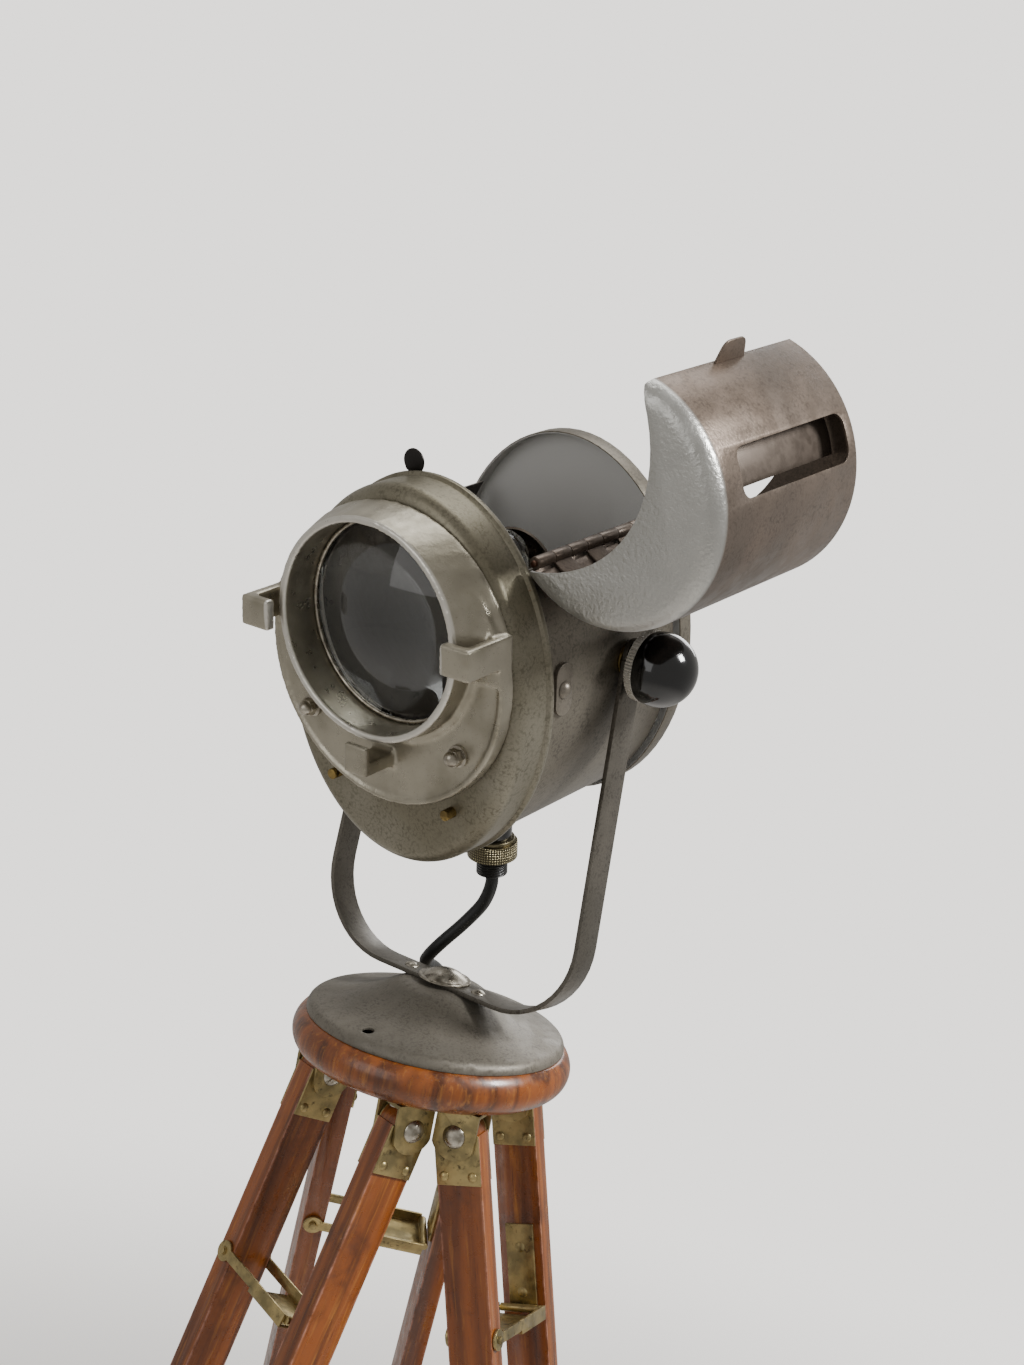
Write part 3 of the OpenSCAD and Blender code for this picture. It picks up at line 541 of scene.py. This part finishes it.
# the lead: three stretches of one rubber cable, each bending between the two bodies that it joins
leadSet = {"diameter": 9, "coilRadius": 54, "coilAt": (-100, 262, -1060), "turns": 4.25, "shift": 0.79,
           "cross": 0.2}
routeTop = [(0, 30.4, 105.9), (0, 32.2, 99.5), (-2, 34, 91), (-6, 35, 81), (-12, 34, 71), (-19, 32, 60.5),
            (-25.8, 30.1, 51.3)]
routeMiddle = [(-25.8, 30.1, 51.3), (-30.5, 29, 44.8), (-34.8, 28.9, 39), (-39, 30.2, 33.6),
               (-43, 33.5, 29), (-46.8, 39, 25.5), (-50.3, 46.2, 22), (-53.8, 54.5, 18.8),
               (-57.5, 63.5, 15.5), (-61.5, 73, 11), (-66.5, 85, 5), (-71.5, 97, -2)]
routeLong = [(18, 119.2, -2), (19.6, 123, -4.4), (20.6, 127.5, -8.5), (20.8, 132.5, -15),
             (20.6, 137.5, -24), (20, 142, -36), (18.5, 146, -52), (16.5, 149, -72), (14, 151, -99),
             (7, 151, -150), (-4, 151, -200), (-13, 151, -240), (-24, 152, -290), (-36, 157, -340),
             (-46, 172, -400), (-50, 187, -450), (-50, 206, -520), (-50, 229, -600), (-50, 243, -645),
             (-49, 250, -700), (-46, 250, -780), (-43, 246, -860), (-42, 238, -920), (-41.5, 229, -965),
             (-41.5, 224, -995), (-41.5, 225, -1022), (-41.5, 233, -1042), (-41.5, 246, -1052.5),
             (-41.5, 262, -1055.5)]


def coilLine(s):
    half = s["diameter"] / 2
    slots = [(half, half), (-half, half), (-half, 3 * half), (half, 3 * half), (half, 5 * half)]
    line = []
    count = int(s["turns"] * 48)
    for i in range(1, count + 1):
        t = s["turns"] * i / count
        r, z = slots[0]
        for k in range(1, len(slots)):
            w = min(max((t - k * s["shift"]) / s["cross"] + 0.5, 0), 1)
            w = w * w * (3 - 2 * w)
            r, z = r + (slots[k][0] - slots[k - 1][0]) * w, z + (slots[k][1] - slots[k - 1][1]) * w
        angle = 2 * math.pi * t
        reach = s["coilRadius"] + r
        line.append(Vector(s["coilAt"]) + Vector((reach * math.cos(angle), reach * math.sin(angle), z)))
    tail = line[-1]
    return line + [tail + Vector((-8, 0, -0.4)), tail + Vector((-17, 0, -2.4)), tail + Vector((-25, 0, -4.3))]


def makeLead(s):
    radius = s["diameter"] * mm / 2
    stretches = [("leadTop", routeTop, yokeFrame, "focus", "lamp", ["lead_top"], "object", -1),
                 ("leadMiddle", routeMiddle, yokeFrame, "lamp", "yoke", ["lead_middle"], "object", 5),
                 ("leadLong", routeLong, standFrame, "yoke", "stand", ["lead_long", "lead_coil"], "plug", 10)]
    for name, route, place, upper, lower, standsFor, end, still in stretches:
        line = [place @ (p * mm) for p in smoothRoute(route, 5)]
        if name == "leadLong":
            line += [place @ (p * mm) for p in coilLine(s)]
        piece = swept(line, radius)
        piece.name = piece.data.name = name
        piece.data.materials.clear()
        piece.data.materials.append(rubber)
        last = place @ (Vector(route[still]) * mm)
        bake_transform(piece, upper, lower, line[0], last)
        for node in standsFor:
            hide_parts(node)
        print(name, round(lengthOf(line), 3), "m")


makeLead(leadSet)
nodes["plug"].data.materials.clear()
nodes["plug"].data.materials.append(rubber)


# lamp house
section = {"width": 96.5, "height": 124.5, "up": -5, "back": 82, "face": 116, "shoulder": 10, "wall": 3,
           "bore": 66, "lensUp": 35}


def makeFrontCap(s):
    a, b, r = s["width"], s["height"], s["shoulder"]
    rings = [(a - s["wall"], b - s["wall"], s["face"] - s["wall"] - 6),
             (a - s["wall"], b - s["wall"], s["back"])]
    bead = [(-0.2, 0), (0.9, 0.8), (1.4, 2.4), (1.2, 4.2), (0.1, 5.4), (-0.8, 6), (-0.9, 8)]    # out, ahead
    rings += [(a + out, b + out, s["back"] + ahead) for out, ahead in bead]
    for k in range(9):
        turn = math.radians(90 * k / 8)
        drop = r * (1 - math.cos(turn))
        rings.append((a - 0.9 - drop, b - 0.9 - drop, s["face"] - r * (1 - math.sin(turn))))
    wide, high = a - 0.9 - r, b - 0.9 - r
    for k in (1, 2, 5, 10, 15, 20):     # the flat face, in to the lens opening
        t = k / 20
        rings.append((wide + (s["bore"] - wide) * t, high + (s["bore"] - high) * t, s["face"],
                      s["up"] + (s["lensUp"] - s["up"]) * t))
    rings.append((s["bore"], s["bore"], s["face"] - s["wall"], s["lensUp"]))
    rings.append(rings[0])
    piece = lofted(rings, sides=128, rise=s["up"], sharp=30)
    return finishPiece(piece, "frontCap", lampFrame @ forward, "lamp", capEnamel, ["front_cap"])


makeFrontCap(section)
softened("housing", 0.3, material=barrelEnamel)
softened("rear_cap", 1.2, segments=3, material=rearEnamel)
softened("side_plates", 0.8, segments=3, material=enamel)
softened("lid_catch", 0.4, material=darkSteel)
softened("dome_nuts", 0.3, material=nickel, flat=0.02)
softened("guide_rods", 0.5, material=brassDark)
softened("trunnion_bolts", 0.5, material=nickel)
softened("pivot_washers", 0.3, material=brassDark)
softened("hinge_leaf", 0.25, material=tabEnamel)
softened("hinge_pin", 0.3, material=rustySteel)


# the cast lens holder: a soft-edged casting whose lip carries a painted highlight
def makeCarrier():
    piece = bpy.data.objects.new("lensHolder", nodes["lens_carrier"].data.copy())
    scene.collection.objects.link(piece)
    weld(piece, 2e-6)
    modify(piece, "REMESH", mode="VOXEL", voxel_size=1.0 * mm)
    modify(piece, "SMOOTH", factor=0.5, iterations=24)
    modify(piece, "DECIMATE", ratio=0.45)
    smooth(piece, 60)
    return finishPiece(piece, "lensHolder", Matrix.Identity(4), "lamp", silver, ["lens_carrier"])


makeCarrier()

lensSet = {"radius": 64, "back": 112, "edge": 5, "bulge": 22, "up": 35}


def makeLens(s):
    ball = (s["radius"] ** 2 + s["bulge"] ** 2) / (2 * s["bulge"])
    reach = math.asin(s["radius"] / ball)
    centre = s["back"] + s["edge"] + s["bulge"] - ball
    rings = [(0, s["back"]), (s["radius"] - 0.6, s["back"]), (s["radius"], s["back"] + 0.6)]
    for k in range(25):
        turn = reach * (1 - k / 24)
        rings.append((ball * math.sin(turn), centre + ball * math.cos(turn)))
    piece = turned(rings, sides=128, sharp=40)
    place = lampFrame @ Matrix.Translation((0, 0, s["up"] * mm)) @ forward
    return finishPiece(piece, "lens", place, "lamp", glass, ["lens"])


makeLens(lensSet)
softened("lens_ring", 0, material=nickel, sharp=80)

# what slides inside the lamp house
softened("carriage", 0.4, material=nickel)
softened("lamp_socket", 1.5, segments=3, material=ceramic)
softened("bulb", 0.6, material=bulbGlass)
reflectorSet = {"radius": 36, "wall": 1.5, "reach": 60, "at": 15.6, "up": 35}


def makeReflector(s):
    turns = [math.radians(s["reach"] * k / 20) for k in range(21)]
    rings = [(s["radius"] * math.sin(t), s["at"] - s["radius"] * math.cos(t)) for t in turns]
    inner = s["radius"] - s["wall"]
    rings += [(inner * math.sin(t), s["at"] - inner * math.cos(t)) for t in reversed(turns)]
    piece = turned(rings, sides=96, sharp=40)
    place = lampFrame @ Matrix.Translation((0, 0, s["up"] * mm)) @ forward
    return finishPiece(piece, "reflector", place, "focus", mirrorMetal, ["reflector"])


makeReflector(reflectorSet)
softened("clamp_block", 0.8, material=bakelite)
softened("clamp_nut", 0.4, material=milledNut())
softened("gland_sleeve", 0.5, material=threaded())

# lid
softened("lid_shell", 0.35, material=lidEnamel)
softened("lid_baffle", 0.2, material=baffleBrown)
softened("lid_leaf", 0.25, material=tabEnamel)
softened("lid_tab", 0.4, material=tabEnamel)

# yoke and dome
softened("dome_cover", 0.4, material=domeEnamel)
softened("yoke_strap", 0.7, segments=3, material=strapEnamel)
boltSet = {"foot": -50, "shaft": 6, "seat": 34.1, "washer": 18, "thick": 1.5, "head": 15.5, "rise": 6}


def makeCentreBolt(s):
    top = s["seat"] + s["thick"]
    rings = [(0, s["foot"]), (s["shaft"], s["foot"]), (s["shaft"], s["seat"]), (s["washer"] - 0.3, s["seat"]),
             (s["washer"], s["seat"] + 0.3), (s["washer"], top - 0.5), (s["washer"] - 0.5, top),
             (s["head"] + 0.2, top)]
    ball = (s["head"] ** 2 + s["rise"] ** 2) / (2 * s["rise"])
    reach = math.asin(s["head"] / ball)
    for k in range(15):
        turn = reach * (1 - k / 14)
        rings.append((ball * math.sin(turn), top + s["rise"] - ball + ball * math.cos(turn)))
    piece = turned(rings, sides=64, sharp=30)
    return finishPiece(piece, "centreBolt", yokeFrame, "yoke", nickel, ["centre_bolt"])


makeCentreBolt(boltSet)
softened("yoke_screws", 0.2, material=nickel, flat=0.02)

# ball knobs: a black neck and ball with a bright milled ring between them; heights are along the tilt axis
knobSet = {"neck": [(0, 101.2), (9.4, 101.2), (10, 101.8), (10, 104), (14, 105.2)], "low": 105.2,
           "high": 110.6, "ring": 23.4, "groove": 0.975, "ridges": 72, "ball": 24, "middle": 117}


def makeKnob(s, side):
    place = lampFrame @ (sideways if side == "right" else Matrix.Rotation(math.pi, 4, "Z") @ sideways)
    start = math.asin((s["high"] + 0.4 - s["middle"]) / s["ball"])
    rings = s["neck"] + [(s["ring"] - 1, s["low"]), (s["ring"] - 1, s["high"]),
                         (s["ring"] - 0.6, s["high"] + 0.4)]
    for k in range(21):
        turn = start + (math.pi / 2 - start) * k / 20
        rings.append((s["ball"] * math.cos(turn) if k < 20 else 0, s["middle"] + s["ball"] * math.sin(turn)))
    piece = turned(rings, sides=96, sharp=35)
    finishPiece(piece, "knob" + side.capitalize(), place, "knob_" + side, bakelite, ["knob_" + side])
    deselect()
    bpy.ops.mesh.primitive_cylinder_add(vertices=2 * s["ridges"], radius=s["ring"] * mm,
                                        depth=(s["high"] - s["low"]) * mm,
                                        location=(0, 0, (s["high"] + s["low"]) / 2 * mm))
    ring = bpy.context.object
    bpy.ops.object.transform_apply(location=True)
    editAll(ring)
    bpy.ops.mesh.select_all(action="DESELECT")
    bpy.ops.object.mode_set(mode="OBJECT")
    for i, vertex in enumerate(ring.data.vertices):     # every second upright edge is drawn in to a groove
        vertex.select = i // 2 % 2 == 1
    bpy.ops.object.mode_set(mode="EDIT")
    bpy.ops.transform.resize(value=(s["groove"], s["groove"], 1), center_override=(0, 0, 0))
    bpy.ops.object.mode_set(mode="OBJECT")
    modify(ring, "BEVEL", width=0.25 * mm, segments=1, limit_method="ANGLE", angle_limit=math.radians(60))
    smooth(ring, 20)
    finishPiece(ring, "knobRing" + side.capitalize(), place, "knob_" + side, brightSteel)


for side in ("right", "left"):
    makeKnob(knobSet, side)

# stand
softened("platform", 1.0, segments=3, material=varnishedWood("platformWood", standFrame))
softened("head_brackets", 0.5, material=brass)
softened("hinge_pins", 0.4, material=nickel)
softened("bracket_screws", 0.3, material=nickel)
softened("wing_nut", 0.8, material=brassDark)
softened("wing_washer", 0.3, material=nickel)
for number, place in zip((1, 2, 3), legFrames):
    railWood = varnishedWood(f"leg{number}RailWood", place, (15.5, 8), 48)
    boardWood = varnishedWood(f"leg{number}BoardWood", place, (10, 22), 0)
    softened(f"leg_{number}_rails", 1.4, segments=3, material=railWood)
    softened(f"leg_{number}_slider", 1.4, segments=3, material=boardWood)
    softened(f"leg_{number}_plates", 0.35, material=brass)
    softened(f"leg_{number}_stay", 0.45, material=brass)
    softened(f"leg_{number}_clamp", 0.9, segments=3, material=brassDark)
    softened(f"leg_{number}_shoe", 0.9, segments=3, material=nickel)
print("pieces made")


# studio: a pale floor that fades into a pale room, and soft boxes
roomSet = {"colour": "#E6E3DF", "seen": 2.4, "glow": 0.6, "near": 0.9, "far": 2.4,
           "boxes": [("keyBox", (1.7, -0.8, 1.5), 0.6, 85), ("fillBox", (-2.2, -1.6, 0.6), 1.8, 14),
                     ("topBox", (0.2, 0.6, 2.0), 1.4, 20), ("rearBox", (1.2, 2.0, 0.8), 1.0, 14)]}


def makeStudio(s):
    deselect()
    bpy.ops.mesh.primitive_plane_add(size=60)
    floor = bpy.context.object
    floor.name = "floor"
    f = Finish("paleFloor")
    f.set(Base_Color=srgb("#D9D6D2"), Roughness=0.7)
    flat = f.add("VectorMath", {"operation": "LENGTH"}, i0=f.coords).outputs["Value"]
    seen = f.step(f.add("LightPath").outputs["Is Camera Ray"], 0, 1, s["glow"], s["seen"])
    glow = f.add("Emission", Color=srgb(s["colour"]), Strength=seen)
    away = f.step(flat, s["near"], s["far"])
    blend = f.add("MixShader", i0=away, i1=f.shader.outputs[0], i2=glow.outputs[0])
    f.tree.links.new(blend.outputs[0], f.tree.nodes["Material Output"].inputs["Surface"])
    floor.data.materials.append(f.material)
    world = bpy.data.worlds.new("paleRoom")
    world.use_nodes = True
    back = world.node_tree.nodes["Background"]
    back.inputs["Color"].default_value = srgb(s["colour"])
    path = world.node_tree.nodes.new("ShaderNodeLightPath")
    level = world.node_tree.nodes.new("ShaderNodeMapRange")
    level.inputs["To Min"].default_value = s["glow"]
    level.inputs["To Max"].default_value = s["seen"]
    world.node_tree.links.new(path.outputs["Is Camera Ray"], level.inputs["Value"])
    world.node_tree.links.new(level.outputs[0], back.inputs["Strength"])
    scene.world = world
    head = lampFrame.translation
    for name, spot, size, power in s["boxes"]:
        bpy.ops.object.light_add(type="AREA", location=head + Vector(spot))
        light = bpy.context.object
        light.name = name
        light.data.size = size
        light.data.energy = power
        light.rotation_euler = (-Vector(spot)).to_track_quat("-Z", "Y").to_euler()


makeStudio(roomSet)
print("studio made")
